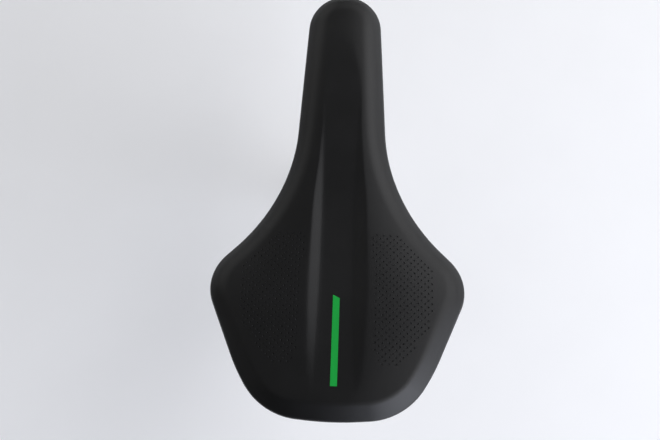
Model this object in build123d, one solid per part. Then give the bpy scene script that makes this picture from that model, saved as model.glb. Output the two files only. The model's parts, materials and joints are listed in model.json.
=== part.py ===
from build123d import *
import os
from math import cos, radians, sin, sqrt, tan

# Bicycle saddle on its rails, clamp and seat post. Millimetres and degrees.
# +Y is forward, +X is the rider's right and +Z is up. The saddle is level and the post leans back.
# The origin is on the axis of the post, at its minimum insertion: the top of the frame's tube.

# Seat post
POST_D = 27.2  # shank, clamped in the frame
POST_WALL = 2.2
POST_LEAN = 17.0  # from the vertical, top to the rear
POST_INSERTED = 80.0  # shank below the origin
POST_EXPOSED = 110.0  # origin to the middle of the clamp band
NECK_D = 22.2  # reduced top, inside the clamp band
NECK_L = 42.0
NECK_OVER = 4.0  # neck above the band
TAPER_L = 14.0  # cone between shank and neck
POST_EDGE = 0.8  # chamfer on the ends of the tube

# Clamp band, round the neck with two ears behind it
BAND_T = 3.0
BAND_H = 24.0
BAND_GAP = 0.05  # to the neck
BOLT_SETBACK = 21.0  # bolt behind the axis of the post
EAR_R = 12.0  # round end of an ear, about the bolt

# Cross bolt, with a washer and a nut at each end
BOLT_D = 8.0
BOLT_GAP = 0.25  # radial, in ears and plates
BOLT_OVER = 2.5  # thread past the nut
BOLT_EDGE = 0.8
BOLT_DROP = 13.0  # bolt below the axis of the rails
NUT_ACROSS = 13.0  # flats
NUT_H = 6.5
NUT_CORNER = 0.6  # chamfer on the corners of the nut
WASHER_D = 17.0
WASHER_T = 1.6
THREAD_GAP = 0.05

# Toothed discs and the inner faces of the plates
DISC_T = 2.3
TOOTH_COUNT = 28
TOOTH_DEPTH = 0.7
TOOTH_GAP = 0.3  # between the tips, with the bolt slack
TOOTH_INNER_R = 6.5

# Rail clamp plates
PLATE_L = 36.0  # along the rail
PLATE_ABOVE = 5.6  # over the axis of the rail
PLATE_BELOW = 12.5  # under the axis of the bolt
PLATE_FOOT_L = 18.0  # foot of the plate, along the rail
PLATE_FOOT_R = 8.75
PLATE_CORNER_R = 2.8
PLATE_SPLIT = 0.8  # between inner and outer plate
PLATE_CAP_T = 4.4  # outer plate
PLATE_EDGE = 1.0  # chamfer on the outer plate's rim
GROOVE_GAP = 0.2  # round the rail

# Rails: one rod, bent at the clamp's ends and round the nose
RAIL_D = 7.0
RAIL_GAUGE = 44.0  # between the axes of the rails, at the clamp
RAIL_STRAIGHT = 84.0  # corner to corner, along the clamp
RAIL_BEND_R = 25.0
RAIL_NOSE = (7.0, 118.0, 27.0)  # corner of the loop in the nose, right side
RAIL_NOSE_R = 6.6
RAIL_REAR = (36.0, -84.0, 28.0)  # rear end, right side
SOCKET_GAP = 0.1  # round the rod, in the base

# Saddle plan, right half: x, y and radius of each corner of its edge, from nose to tail
PLAN_CORNERS = [
    (22.8, 151.4, 21.5),  # nose
    (30.2, 11.5, 112.0),  # waist
    (83.3, -37.6, 27.0),  # wing
    (58.6, -94.7, 120.0),  # haunch
    (41.4, -120.4, 30.0),  # tail
]
PLAN_TAIL = (-124.4, 180.0)  # y and radius of the corner in the middle of the tail
SHOULDER_Z = 32.0  # where the plan is as wide as drawn
SIDE_TAPER = 8.0  # the side tucks in towards the hem
SHOULDER_R = 13.0  # round from the top into the side

# Saddle top: arched sections, each y, height, arch radius and half width
CROWN_SECTIONS = [
    (-145.0, 55.0, 300.0, 70.0),
    (-100.0, 54.0, 320.0, 88.0),
    (-45.0, 51.0, 330.0, 105.0),
    (10.0, 49.0, 140.0, 62.0),
    (60.0, 49.5, 80.0, 48.0),
    (110.0, 50.0, 64.0, 44.0),
    (170.0, 47.0, 58.0, 44.0),
]

# Lower edge of the saddle's side, seen from the right: y, z and corner radius
SKIRT_LINE = [
    (-165.0, 31.0, 0.0),
    (-52.0, 19.0, 180.0),
    (24.0, 25.0, 180.0),
    (175.0, 17.0, 0.0),
]

# Channel along the middle of the top: y, half width of the floor and depth
CHANNEL_SECTIONS = [
    (-119.0, 20.0, -1.2),
    (-95.0, 11.2, 1.2),
    (-54.0, 10.3, 2.4),
    (11.0, 10.2, 2.5),
    (40.0, 10.7, 1.3),
    (94.0, 11.5, -0.4),
]
CHANNEL_WALL = 71.5  # slope of its walls, from the vertical

# Padding, hem and base
PAD_SIDE = 4.0  # padding beside the base
HEM_T = 2.0  # cover folded under the base's edge
BASE_T = 3.0
BASE_ROOF = [  # top of the base, seen from the right: y, z and corner radius
    (-165.0, 40.0, 0.0),
    (-40.0, 36.5, 250.0),
    (20.0, 35.0, 250.0),
    (175.0, 36.0, 0.0),
]
BASE_GAP = 0.15  # between base and padding
RIB_T = 2.0
RIB_H = 6.0
RIB_X = 13.0  # two long ribs
RIB_PITCH = 26.0  # between cross ribs
RIB_FIRST_Y = -96.0
RIB_COUNT = 8
SOCKET_WALL = 3.0  # base round the rod
SOCKET_L = 22.0

# Worked out from the sizes above
RAIL_X = RAIL_GAUGE / 2
RAIL_R = RAIL_D / 2
BOLT_R = BOLT_D / 2
NECK_R = NECK_D / 2
BAND_IN_R = NECK_R + BAND_GAP
BAND_OUT_R = BAND_IN_R + BAND_T
DISC_X = BAND_OUT_R + DISC_T
INNER_X = DISC_X + TOOTH_GAP
SPLIT_IN_X = RAIL_X - PLATE_SPLIT / 2
SPLIT_OUT_X = RAIL_X + PLATE_SPLIT / 2
CAP_X = SPLIT_OUT_X + PLATE_CAP_T
NUT_X = CAP_X + WASHER_T
NUT_END_X = NUT_X + NUT_H
BOLT_END_X = NUT_END_X + BOLT_OVER
NECK_TOP = POST_EXPOSED + BAND_H / 2 + NECK_OVER
SHANK_TOP = NECK_TOP - NECK_L - TAPER_L
CROWN_TOP = max(section[1] for section in CROWN_SECTIONS)
REACH = 400.0  # longer than anything it cuts

# Where the parts meet: the post's own frame, and the saddle's frame on the axis of the rails
POST_AT = Rot(X=POST_LEAN)
BOLT_Y = -BOLT_SETBACK * cos(radians(POST_LEAN)) - POST_EXPOSED * sin(radians(POST_LEAN))
BOLT_Z = -BOLT_SETBACK * sin(radians(POST_LEAN)) + POST_EXPOSED * cos(radians(POST_LEAN))
SADDLE_AT = Pos(0, BOLT_Y, BOLT_Z + BOLT_DROP)
BOLT_AT = Pos(0, 0, -BOLT_DROP)  # in the saddle's frame
ALONG_X = Rot(Y=90)


def mirrored(shape):
    """The same shape on the rider's left."""
    return mirror(shape, about=Plane.YZ)


def disc(radius, x_from, x_to):
    """A cylinder along X between two places."""
    length = x_to - x_from
    return Pos((x_from + x_to) / 2, 0, 0) * ALONG_X * Cylinder(radius, length)


# Seat post


def make_post():
    """Tube with a wide shank and a reduced neck, open at both ends."""
    shank_r = POST_D / 2
    outside = [
        (shank_r - POST_EDGE, -POST_INSERTED),
        (shank_r, -POST_INSERTED + POST_EDGE),
        (shank_r, SHANK_TOP),
        (NECK_R, SHANK_TOP + TAPER_L),
        (NECK_R, NECK_TOP - POST_EDGE),
        (NECK_R - POST_EDGE, NECK_TOP),
    ]
    inside = [
        (NECK_R - POST_WALL, NECK_TOP),
        (NECK_R - POST_WALL, SHANK_TOP + TAPER_L),
        (shank_r - POST_WALL, SHANK_TOP),
        (shank_r - POST_WALL, -POST_INSERTED),
    ]
    half = Polyline(*outside, *inside, close=True)
    return revolve(Plane.XZ * make_face(half.edges()), Axis.Z)


# Clamp


def make_band():
    """Strap round the neck, with an ear on each side that the bolt passes through."""
    ring = Cylinder(BAND_OUT_R, BAND_H)
    ear_x = (BAND_IN_R + BAND_OUT_R) / 2
    ear = Pos(0, -BOLT_SETBACK / 2, 0) * Box(BAND_T, BOLT_SETBACK, BAND_H)
    ear += Pos(0, -BOLT_SETBACK, 0) * ALONG_X * Cylinder(EAR_R, BAND_T)
    front = Pos(0, BAND_OUT_R / 2, 0) * Box(2 * BAND_OUT_R, BAND_OUT_R, BAND_H)
    band = (ring & front) + Pos(ear_x, 0, 0) * ear + Pos(-ear_x, 0, 0) * ear
    band -= Cylinder(BAND_IN_R, BAND_H)
    band -= Pos(0, -BOLT_SETBACK, 0) * ALONG_X * Cylinder(BOLT_R + BOLT_GAP, 4 * BAND_OUT_R)
    return Pos(0, 0, POST_EXPOSED) * band


def tooth_grooves(x):
    """Radial V grooves in a face across X, round the axis of the bolt."""
    groove_l = EAR_R + PLATE_L
    groove = Rot(Z=45) * Box(TOOTH_DEPTH * sqrt(2), TOOTH_DEPTH * sqrt(2), groove_l)
    groove = Pos(0, 0, TOOTH_INNER_R + groove_l / 2) * groove
    return [
        Pos(x, 0, 0) * Rot(X=360 * tooth / TOOTH_COUNT) * groove for tooth in range(TOOTH_COUNT)
    ]


def make_tooth_disc():
    """Right disc: it sits on the ear and its teeth face outward."""
    plain = disc(EAR_R, BAND_OUT_R, DISC_X) - disc(BOLT_R + BOLT_GAP, 0, CAP_X)
    return plain - tooth_grooves(DISC_X)


def plate_outline():
    """Shield shape of a clamp plate, seen from the right: a bar along the rail and a round foot."""
    half = PLATE_L / 2
    foot = BOLT_DROP + PLATE_BELOW
    points = [
        (half, PLATE_ABOVE),
        (half, -PLATE_ABOVE),
        (PLATE_FOOT_L / 2, -foot),
        (-PLATE_FOOT_L / 2, -foot),
        (-half, -PLATE_ABOVE),
        (-half, PLATE_ABOVE),
    ]
    bar = [PLATE_CORNER_R, PLATE_CORNER_R]
    radii = bar + [PLATE_FOOT_R, PLATE_FOOT_R] + bar
    return make_face(FilletPolyline(*points, radius=radii, close=True).edges())


def plate(x_from, x_to):
    return Pos(x_from, 0, 0) * extrude(Plane.YZ * plate_outline(), amount=x_to - x_from)


def rail_groove():
    """Round groove for the straight part of the right rail."""
    return Pos(RAIL_X, 0, 0) * Rot(X=90) * Cylinder(RAIL_R + GROOVE_GAP, 2 * PLATE_L)


def bolt_hole():
    return BOLT_AT * disc(BOLT_R + BOLT_GAP, 0, BOLT_END_X)


def make_inner_plate():
    """Right inner plate: teeth on its inner face and half a groove for the rail."""
    solid = plate(INNER_X, SPLIT_IN_X) - rail_groove() - bolt_hole()
    ring = BOLT_AT * disc(EAR_R, INNER_X, INNER_X + TOOTH_DEPTH)
    teeth = [BOLT_AT * groove & ring for groove in tooth_grooves(INNER_X)]
    return solid - teeth


def make_outer_plate():
    """Right outer plate: a cap over the rail, chamfered outside."""
    solid = plate(SPLIT_OUT_X, CAP_X)
    rim = solid.faces().sort_by(Axis.X)[-1].edges()
    return chamfer(rim, PLATE_EDGE) - rail_groove() - bolt_hole()


def make_washer():
    return BOLT_AT * (disc(WASHER_D / 2, CAP_X, NUT_X) - disc(BOLT_R + THREAD_GAP, CAP_X, NUT_X))


def make_nut():
    """Hexagon nut with its outer corners turned down."""
    corner_r = NUT_ACROSS / 2 / cos(radians(30))
    hexagon = extrude(Plane.YZ * RegularPolygon(corner_r, 6), amount=NUT_H)
    turned = disc(corner_r, 0, NUT_H)
    turned = chamfer(turned.edges().filter_by(GeomType.CIRCLE).sort_by(Axis.X)[-1], NUT_CORNER)
    nut = (hexagon & turned) - disc(BOLT_R + THREAD_GAP, 0, NUT_H)
    return BOLT_AT * Pos(NUT_X, 0, 0) * nut


def make_bolt():
    rod = disc(BOLT_R, -BOLT_END_X, BOLT_END_X)
    return BOLT_AT * chamfer(rod.edges().filter_by(GeomType.CIRCLE), BOLT_EDGE)


# Rails


def make_rails():
    """The bent rod from the right rear end, round the nose, to the left rear end."""
    right = [
        RAIL_REAR,
        (RAIL_X, -RAIL_STRAIGHT / 2, 0),
        (RAIL_X, RAIL_STRAIGHT / 2, 0),
        RAIL_NOSE,
    ]
    left = [(-x, y, z) for x, y, z in reversed(right)]
    bends = [RAIL_BEND_R, RAIL_BEND_R, RAIL_NOSE_R]
    path = FilletPolyline(*right, *left, radius=bends + bends[::-1])
    start = Plane(origin=path @ 0, z_dir=path % 0)
    return sweep(start * Circle(RAIL_R), path=path)


# Saddle


def plan_outline():
    """Edge of the saddle, seen from above."""
    right = [(x, y) for x, y, _ in PLAN_CORNERS]
    left = [(-x, y) for x, y in reversed(right)]
    radii = [r for _, _, r in PLAN_CORNERS]
    tail_y, tail_r = PLAN_TAIL
    points = right + [(0, tail_y)] + left
    edge = FilletPolyline(*points, radius=radii + [tail_r] + radii[::-1], close=True)
    return make_face(edge.edges())


def plan_prism(inset):
    """The plan carried down with its sides tucking in, set in from the edge all round."""
    start_z = CROWN_TOP + SHOULDER_R
    grow = (start_z - SHOULDER_Z) * tan(radians(SIDE_TAPER)) - inset
    plan = Pos(0, 0, start_z) * offset(plan_outline(), grow)
    return extrude(plan, amount=-start_z, taper=SIDE_TAPER)


def crown():
    """Everything under the arched top."""
    sections = []
    for y, top, radius, half in CROWN_SECTIONS:
        edge = top - radius + sqrt(radius**2 - half**2)
        arch = ThreePointArc((-half, edge), (0, top), (half, edge))
        box = Polyline((half, edge), (half, -top), (-half, -top), (-half, edge))
        sections.append(Plane.XZ.offset(-y) * make_face(arch.edges() + box.edges()))
    return loft(sections)


def side_slab(line, far_z, lift):
    """Everything from a line seen from the right to a far height, raised by lift."""
    edge = [(y, z) for y, z, _ in line]
    bends = [r for _, _, r in line]
    points = edge + [(edge[-1][0], far_z), (edge[0][0], far_z)]
    profile = make_face(FilletPolyline(*points, radius=bends + [0, 0], close=True).edges())
    return Pos(0, 0, lift) * extrude(Plane.YZ * profile, amount=REACH / 2, both=True)


def above_skirt(lift):
    return side_slab(SKIRT_LINE, REACH, lift)


def under_roof(lift):
    return side_slab(BASE_ROOF, -REACH, lift)


def saddle_form():
    """The saddle's outer form, rounded from its top into its side."""
    form = plan_prism(0) & crown()
    top = form.faces().sort_by(Axis.Z)[-1]
    return fillet(top.edges(), SHOULDER_R)


def crown_height(y):
    """Height of the top's middle line, straight between the sections."""
    for (y_a, z_a, *_), (y_b, z_b, *_) in zip(CROWN_SECTIONS, CROWN_SECTIONS[1:]):
        if y_a <= y <= y_b:
            return z_a + (z_b - z_a) * (y - y_a) / (y_b - y_a)
    raise ValueError(f"no crown at {y}")


def channel():
    """Cutter for the shallow channel: flat floor, sloping walls, running out at both ends."""
    over = SHOULDER_R  # its height above the floor
    spread = over * tan(radians(CHANNEL_WALL))
    sections = []
    for y, half, depth in CHANNEL_SECTIONS:
        floor = crown_height(y) - depth
        points = [
            (-half, floor),
            (half, floor),
            (half + spread, floor + over),
            (-half - spread, floor + over),
        ]
        sections.append(Plane.XZ.offset(-y) * make_face(Polyline(*points, close=True).edges()))
    return loft(sections)


def make_cover():
    """Padding and skin: the outer form, hollow for the base, with a hem under its edge."""
    outer = saddle_form() & above_skirt(0)
    hollow = plan_prism(PAD_SIDE) & under_roof(BASE_GAP) & above_skirt(HEM_T)
    mouth = plan_prism(PAD_SIDE + BASE_GAP + BASE_T) - above_skirt(HEM_T)
    return outer - channel() - hollow - mouth


def rib_grid():
    """Long and cross ribs of the base, taller than they end up."""
    grid = [Pos(x, 0, 0) * Box(RIB_T, REACH, REACH) for x in (RIB_X, -RIB_X)]
    for rib in range(RIB_COUNT):
        grid.append(Pos(0, RIB_FIRST_Y + rib * RIB_PITCH, 0) * Box(REACH, RIB_T, REACH))
    return grid[0].fuse(*grid[1:])


def nose_socket():
    """Block in the nose and the sloping pocket in it that takes the loop of the rod."""
    corner_x, corner_y, corner_z = RAIL_NOSE
    run = Vector(RAIL_NOSE) - Vector(RAIL_X, RAIL_STRAIGHT / 2, 0)
    loop = Plane(origin=(0, corner_y, corner_z), x_dir=(1, 0, 0), z_dir=(0, -run.Z, run.Y))
    around = RAIL_R + SOCKET_GAP
    mouth_x = corner_x - SOCKET_L * run.X / run.Y + RAIL_R * run.length / run.Y + SOCKET_GAP
    size = (2 * (mouth_x + SOCKET_WALL), SOCKET_L, REACH)
    block = Box(*size, align=(Align.CENTER, Align.MAX, Align.MIN))
    block = Pos(0, corner_y + around + SOCKET_WALL, corner_z - around - SOCKET_WALL) * block
    pocket = Pos(0, around, 0) * Box(
        2 * mouth_x, 2 * SOCKET_L, 2 * around, align=(Align.CENTER, Align.MAX, Align.CENTER)
    )
    return block, loop * pocket


def rear_socket():
    """Block at the right rear end of the rod and the round hole in it."""
    end = Vector(RAIL_REAR)
    run = Vector(RAIL_X, -RAIL_STRAIGHT / 2, 0) - end
    around = RAIL_R + SOCKET_WALL
    block = Box(2 * around, SOCKET_L, REACH, align=(Align.CENTER, Align.MIN, Align.MIN))
    block = Pos(end.X, end.Y - around, end.Z - around) * block
    hole = Cylinder(RAIL_R + SOCKET_GAP, 2 * SOCKET_L, align=(Align.CENTER, Align.CENTER, Align.MIN))
    return block, Plane(origin=end, z_dir=run) * hole


def make_base():
    """Moulded shell under the padding, with ribs and the sockets that hold the rails."""
    side = PAD_SIDE + BASE_GAP
    outer = plan_prism(side) & under_roof(0) & above_skirt(HEM_T + BASE_GAP)
    cavity = plan_prism(side + BASE_T) & under_roof(-BASE_T)
    ribs = (rib_grid() & cavity) - under_roof(-BASE_T - RIB_H)
    nose_block, pocket = nose_socket()
    rear_block, hole = rear_socket()
    blocks = nose_block + rear_block + mirrored(rear_block)
    return (outer - cavity) + ribs + (blocks & cavity) - pocket - hole - mirrored(hole)


def main():
    os.makedirs("parts", exist_ok=True)
    nodes = {
        "post": POST_AT * make_post(),
        "clamp_band": POST_AT * make_band(),
        "cross_bolt": SADDLE_AT * make_bolt(),
        "rails": SADDLE_AT * make_rails(),
        "cover": SADDLE_AT * make_cover(),
        "base": SADDLE_AT * make_base(),
    }
    sided = {
        "tooth_disc": BOLT_AT * make_tooth_disc(),
        "inner_plate": make_inner_plate(),
        "outer_plate": make_outer_plate(),
        "washer": make_washer(),
        "nut": make_nut(),
    }
    for name, right in sided.items():
        nodes[name + "_right"] = SADDLE_AT * right
        nodes[name + "_left"] = SADDLE_AT * mirrored(right)
    for name, shape in nodes.items():
        export_step(shape, f"parts/{name}.step")
        print(name, round(shape.volume), "mm3")


main()
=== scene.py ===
# %% [markdown]
# # A bicycle saddle on its seat post
#
# This lesson dresses the imported model of a bicycle saddle. The solids already hold the right sizes:
# a padded cover on a moulded base, bent steel rails, a toothed clamp and a leaning seat post.
# Blender adds what solids leave out: the soft form of the padding, its perforations and print,
# the thread of the bolt, the staples under the hem, and the finish of every surface.
#
# The first step loads that model as a fixed frame and keeps the box around it,
# so that the last step can print it beside the box of the dressed saddle.

# %% Load the frame
import json
import math

import bmesh
import bpy
import numpy as np
from mathutils import Matrix, Vector


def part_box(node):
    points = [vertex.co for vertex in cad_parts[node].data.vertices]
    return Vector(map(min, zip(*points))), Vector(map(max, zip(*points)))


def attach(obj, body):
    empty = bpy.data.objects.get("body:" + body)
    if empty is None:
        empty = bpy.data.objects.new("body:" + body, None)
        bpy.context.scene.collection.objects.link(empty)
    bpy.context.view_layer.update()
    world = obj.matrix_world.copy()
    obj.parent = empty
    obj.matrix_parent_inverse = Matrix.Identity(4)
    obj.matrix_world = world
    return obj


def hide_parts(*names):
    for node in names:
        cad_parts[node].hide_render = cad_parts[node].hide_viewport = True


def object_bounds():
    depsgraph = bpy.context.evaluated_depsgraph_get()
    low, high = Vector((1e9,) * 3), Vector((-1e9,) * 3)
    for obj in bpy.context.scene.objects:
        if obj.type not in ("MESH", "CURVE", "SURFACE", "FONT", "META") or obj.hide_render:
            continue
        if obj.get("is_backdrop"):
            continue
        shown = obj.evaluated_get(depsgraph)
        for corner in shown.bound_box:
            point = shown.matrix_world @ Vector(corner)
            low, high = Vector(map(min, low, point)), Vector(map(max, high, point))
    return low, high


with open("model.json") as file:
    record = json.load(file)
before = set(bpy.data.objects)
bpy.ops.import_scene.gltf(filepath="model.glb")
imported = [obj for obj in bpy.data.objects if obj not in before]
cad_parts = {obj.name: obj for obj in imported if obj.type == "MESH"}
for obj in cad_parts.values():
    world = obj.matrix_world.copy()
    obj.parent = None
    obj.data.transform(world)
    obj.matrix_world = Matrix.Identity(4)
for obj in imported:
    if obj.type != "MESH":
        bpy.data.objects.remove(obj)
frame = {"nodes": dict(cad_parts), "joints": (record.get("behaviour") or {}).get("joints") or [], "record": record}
cad_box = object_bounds()

# %% [markdown]
# ## The saddle's own place
#
# A saddle maker measures from the rails, because the clamp grips them. So this script's lengths are
# millimetres from the point on the axis of the rails above the clamp's bolt, and one function moves
# them into the scene's metres. The place itself is read from the frame: the tilt joint gives how far
# back the bolt is, and the lowest point of the rod is one radius under its axis.

# %% Find the axis of the rails
MM = 0.001
ROD_RADIUS = 3.5
tilt = next(joint for joint in frame["joints"] if joint["name"] == "saddle_tilt")
rail_axis = np.array([0.0, tilt["pos_m"][1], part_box("rails")[0].z + ROD_RADIUS * MM])


def placed(points):
    """Points in the saddle's millimetres, in the scene's metres."""
    return np.asarray(points, float) * MM + rail_axis


print("axis of the rails at", rail_axis.round(4))

# %% [markdown]
# ## The edge, seen from above
#
# The saddle's plan is a few straight runs joined by arcs, as a pattern maker would draw it: a round
# nose, a hollow waist, a wing, a haunch and a tail. It could be a Bezier curve drawn by hand, but
# corners with radii are exact and need few numbers. Most of the line lies a little inside the solid's
# own, because this padding turns its shoulder more tightly. The same rounding also serves the lines
# seen from the side, further down.

# %% Draw the right half of the edge
ARC_STEPS = 81  # odd, so that one point is in the middle of an arc
EDGE_CORNERS = [  # x, y and radius, from the nose to the tail
    (0.0, 150.4, 0.0),
    (22.6, 150.4, 21.5),
    (30.2, 11.5, 112.0),
    (82.9, -37.6, 27.0),
    (58.6, -94.7, 120.0),
    (41.8, -121.7, 42.0),
    (0.0, -125.2, 180.0),
    (-41.8, -121.7, 0.0),
]
MIDDLE_SLACK = 1e-6  # how far past the middle line a point still counts as on it


def unit(vector):
    return vector / np.linalg.norm(vector)


def rounded(corners):
    """An open line through corners given as two coordinates and a radius, rounded at each one."""
    points = [np.array(corner[:2]) for corner in corners]
    line = [points[0]]
    for before, here, after, (*_, radius) in zip(points, points[1:], points[2:], corners[1:]):
        back, on = unit(before - here), unit(after - here)
        half_angle = math.acos(back @ on) / 2
        middle = here + unit(back + on) * radius / math.sin(half_angle)
        start = here + back * radius / math.tan(half_angle) - middle
        end = here + on * radius / math.tan(half_angle) - middle
        turn = math.pi - 2 * half_angle
        for t in np.linspace(0, 1, ARC_STEPS):
            swung = start * math.sin((1 - t) * turn) + end * math.sin(t * turn)
            line.append(middle + swung / math.sin(turn))
    return np.array(line + [points[-1]])


half_edge = rounded(EDGE_CORNERS)
half_edge = half_edge[half_edge[:, 0] > -MIDDLE_SLACK]
print("half edge from", half_edge[0].round(1), "to", half_edge[-1].round(1))
print("widest at", half_edge[:, 0].max().round(1))

# %% [markdown]
# ## Walking along the edge
#
# Everything on the padding is measured in from this edge, so the script needs the edge at any
# distance from the nose, and the direction that points inwards there. A fine, even copy of the line
# gives both by plain interpolation.

# %% Measure along the edge
EDGE_STEP = 0.1
runs = np.linalg.norm(np.diff(half_edge, axis=0), axis=1)
walked = np.concatenate([[0], np.cumsum(runs)])
edge_length = walked[-1]
way = np.linspace(0, edge_length, int(edge_length / EDGE_STEP))
edge_x, edge_y = (np.interp(way, walked, half_edge[:, axis]) for axis in (0, 1))
heading = np.stack([np.gradient(edge_x), np.gradient(edge_y)])
heading /= np.linalg.norm(heading, axis=0)
inward_x, inward_y = heading[1], -heading[0]
inward_x[[0, -1]] = 0
print("the edge is", round(2 * edge_length), "mm round")

# %% [markdown]
# ## The top of the padding
#
# The top is an arch that is flat across the wings and tight over the nose. Heights and arches are
# given at a few stations along the saddle and joined by cubic curves, which keep the reflections
# free of kinks. A shallow relief channel runs along the middle: a flat floor with sloping walls.
# Where the wall meets the arch there is a crest, so the two are joined by a soft minimum instead of
# a hard one: foam under a stretched skin never holds a knife edge.

# %% Describe the top as a height at every place
CROWN = np.array([  # y, height of the middle line and radius of the arch
    (-145.0, 55.0, 300.0),
    (-100.0, 54.0, 320.0),
    (-45.0, 51.0, 330.0),
    (10.0, 49.0, 140.0),
    (60.0, 49.5, 80.0),
    (110.0, 50.0, 64.0),
    (170.0, 47.0, 58.0),
]).T
CHANNEL = np.array([  # y, half width of the floor, depth, and rise of the walls for each millimetre
    (-119.0, 12.0, -0.6, 0.05),
    (-104.0, 11.6, 0.45, 0.07),
    (-89.0, 11.2, 1.1, 0.14),
    (-71.0, 10.8, 1.75, 0.22),
    (-53.0, 10.3, 2.3, 0.26),
    (-25.0, 10.1, 2.7, 0.295),
    (11.0, 10.2, 2.6, 0.295),
    (34.0, 10.6, 1.75, 0.27),
    (61.0, 11.0, 1.15, 0.2),
    (80.0, 11.4, 1.0, 0.15),
    (100.0, 11.2, 0.6, 0.1),
    (122.0, 10.2, -0.3, 0.08),
]).T
DEEPEST_Y = -25.0
FLOOR_EDGE = 0.8  # softness of the line between floor and wall
CREST_EDGE = 0.25  # softness of the crest


def flowing(at, stations, values):
    """Values between stations, joined by cubic curves without kinks."""
    at = np.clip(at, stations[0], stations[-1])
    slopes = np.gradient(values, stations)
    k = np.clip(np.searchsorted(stations, at) - 1, 0, len(stations) - 2)
    run = stations[k + 1] - stations[k]
    t = (at - stations[k]) / run
    rest = 1 - t
    held = values[k] * (1 + 2 * t) * rest**2 + values[k + 1] * (3 - 2 * t) * t**2
    return held + run * (slopes[k] * t * rest**2 - slopes[k + 1] * rest * t**2)


def above_zero(value, softness):
    """The value where it is positive and nearly nothing elsewhere, with a soft turn between."""
    return (value + np.sqrt(value**2 + softness**2)) / 2


def crown_height(x, y):
    middle = flowing(y, CROWN[0], CROWN[1])
    radius = 1 / flowing(y, CROWN[0], 1 / CROWN[2])
    return middle - radius + np.sqrt(radius**2 - x**2)


def top_height(x, y):
    """Height of the finished top: the arch with the channel pressed into it."""
    arch = crown_height(x, y)
    half, depth, rise = (flowing(y, CHANNEL[0], column) for column in CHANNEL[1:])
    floor = flowing(y, CROWN[0], CROWN[1]) - depth
    wall = floor + rise * above_zero(np.abs(x) - half, FLOOR_EDGE)
    return arch - above_zero(arch - wall, CREST_EDGE)


deepest = float(crown_height(0, DEEPEST_Y) - top_height(0, DEEPEST_Y))
print("channel is", round(deepest, 1), "mm deep at its deepest")

# %% [markdown]
# ## Where the mesh lines run
#
# A crisp line stays crisp only if mesh lines run along it. The top is therefore a grid whose
# columns follow the channel's floor, its crest and the start of the rounded shoulder, while its rows
# run across and bow out at the nose and the tail. A voxel remesh of a rough block would be less
# work, but it would blur the crest, and even rings round the edge would cross it at an angle.

# %% Lay out columns and rows
SHOULDER_W = 13.0
FLOOR_COLUMNS, WALL_COLUMNS, WING_COLUMNS = 5, 8, 34
COLUMNS = FLOOR_COLUMNS + WALL_COLUMNS + WING_COLUMNS
ROWS = 230
FLOOR_MOST, CREST_MOST, WALL_LEAST = 0.4, 0.8, 0.1  # shares of the row's half width
CREST_SAMPLES = 400
NOSE_TURN, TAIL_TURN = -math.sqrt(0.5), 0.8  # how far the edge has turned at the first and last row
inner_x = edge_x + SHOULDER_W * inward_x
inner_y = edge_y + SHOULDER_W * inward_y


def columns_across(y, reach):
    """Where the columns cross a row on the right half: floor, wall of the channel, wing."""
    floor = min(float(flowing(y, CHANNEL[0], CHANNEL[1])), FLOOR_MOST * reach)
    wing = np.linspace(floor, CREST_MOST * reach, CREST_SAMPLES)
    cut = crown_height(wing, y) - top_height(wing, y) > CREST_EDGE
    crest = max(wing[cut].max(initial=0), floor + WALL_LEAST * reach)
    return np.concatenate([
        np.linspace(0, floor, FLOOR_COLUMNS, endpoint=False),
        np.linspace(floor, crest, WALL_COLUMNS, endpoint=False),
        np.linspace(crest, reach, WING_COLUMNS + 1),
    ])


nose_corner = int(np.argmax(inward_x < NOSE_TURN))
tail_corner = int(np.argmax((inward_y > TAIL_TURN) & (edge_y < 0)))
nose_across = columns_across(inner_y[nose_corner], inner_x[nose_corner])
tail_across = columns_across(inner_y[tail_corner], inner_x[tail_corner])
nose_way = np.interp(nose_across, inner_x[: nose_corner + 1], way[: nose_corner + 1])
tail_way = np.interp(tail_across, inner_x[:tail_corner - 1:-1], way[:tail_corner - 1:-1])
side_way = np.linspace(way[nose_corner], way[tail_corner], ROWS + 1)
half_way = np.concatenate([nose_way, side_way[1:-1], tail_way[::-1]])
print(COLUMNS, "columns on each half,", ROWS, "rows,", 2 * len(half_way) - 2, "points round the edge")

# %% [markdown]
# ## From hem to shoulder
#
# Under the top, the skin turns over a shoulder, runs down a side that tucks in, and folds under the
# base as a hem. Each of these is a ring of points at some distance in from the edge and at some
# height, so the whole side is a list of such rings. The padding is a moulded block of foam with
# a bonded skin, tight everywhere, so its form is modelled directly: a cloth simulation would only
# soften the crest that the mould gives it.

# %% Make a ring at any inset and height
SKIRT_LINE = rounded([(-165, 31, 0), (-52, 19, 180), (24, 25, 180), (175, 17, 0)])
ROOF_LINE = rounded([(-165, 40, 0), (-40, 36.5, 250), (20, 35, 250), (175, 36, 0)])
BASE_GAP = 0.15
rim = np.stack([np.interp(half_way, way, line) for line in (edge_x, edge_y)])
inward = np.stack([np.interp(half_way, way, line) for line in (inward_x, inward_y)])
skirt = np.interp(rim[1], *SKIRT_LINE.T)
roof = np.interp(rim[1], *ROOF_LINE.T) + BASE_GAP


def ring(inset, height):
    """Half a ring: the rim moved inwards, at a height."""
    x, y = rim + inward * inset
    return np.stack([x, y, np.broadcast_to(height, x.shape)], axis=1)


print("the side ends", skirt.min().round(1), "to", skirt.max().round(1), "mm over the rails")

# %% [markdown]
# The shoulder is round along the nose and the waist. Behind the wings it grows into a sloping band
# with a soft line along its upper edge. Two separate forms would need a seam, so each ring of the
# shoulder blends from one profile into the other along the saddle.

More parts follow.
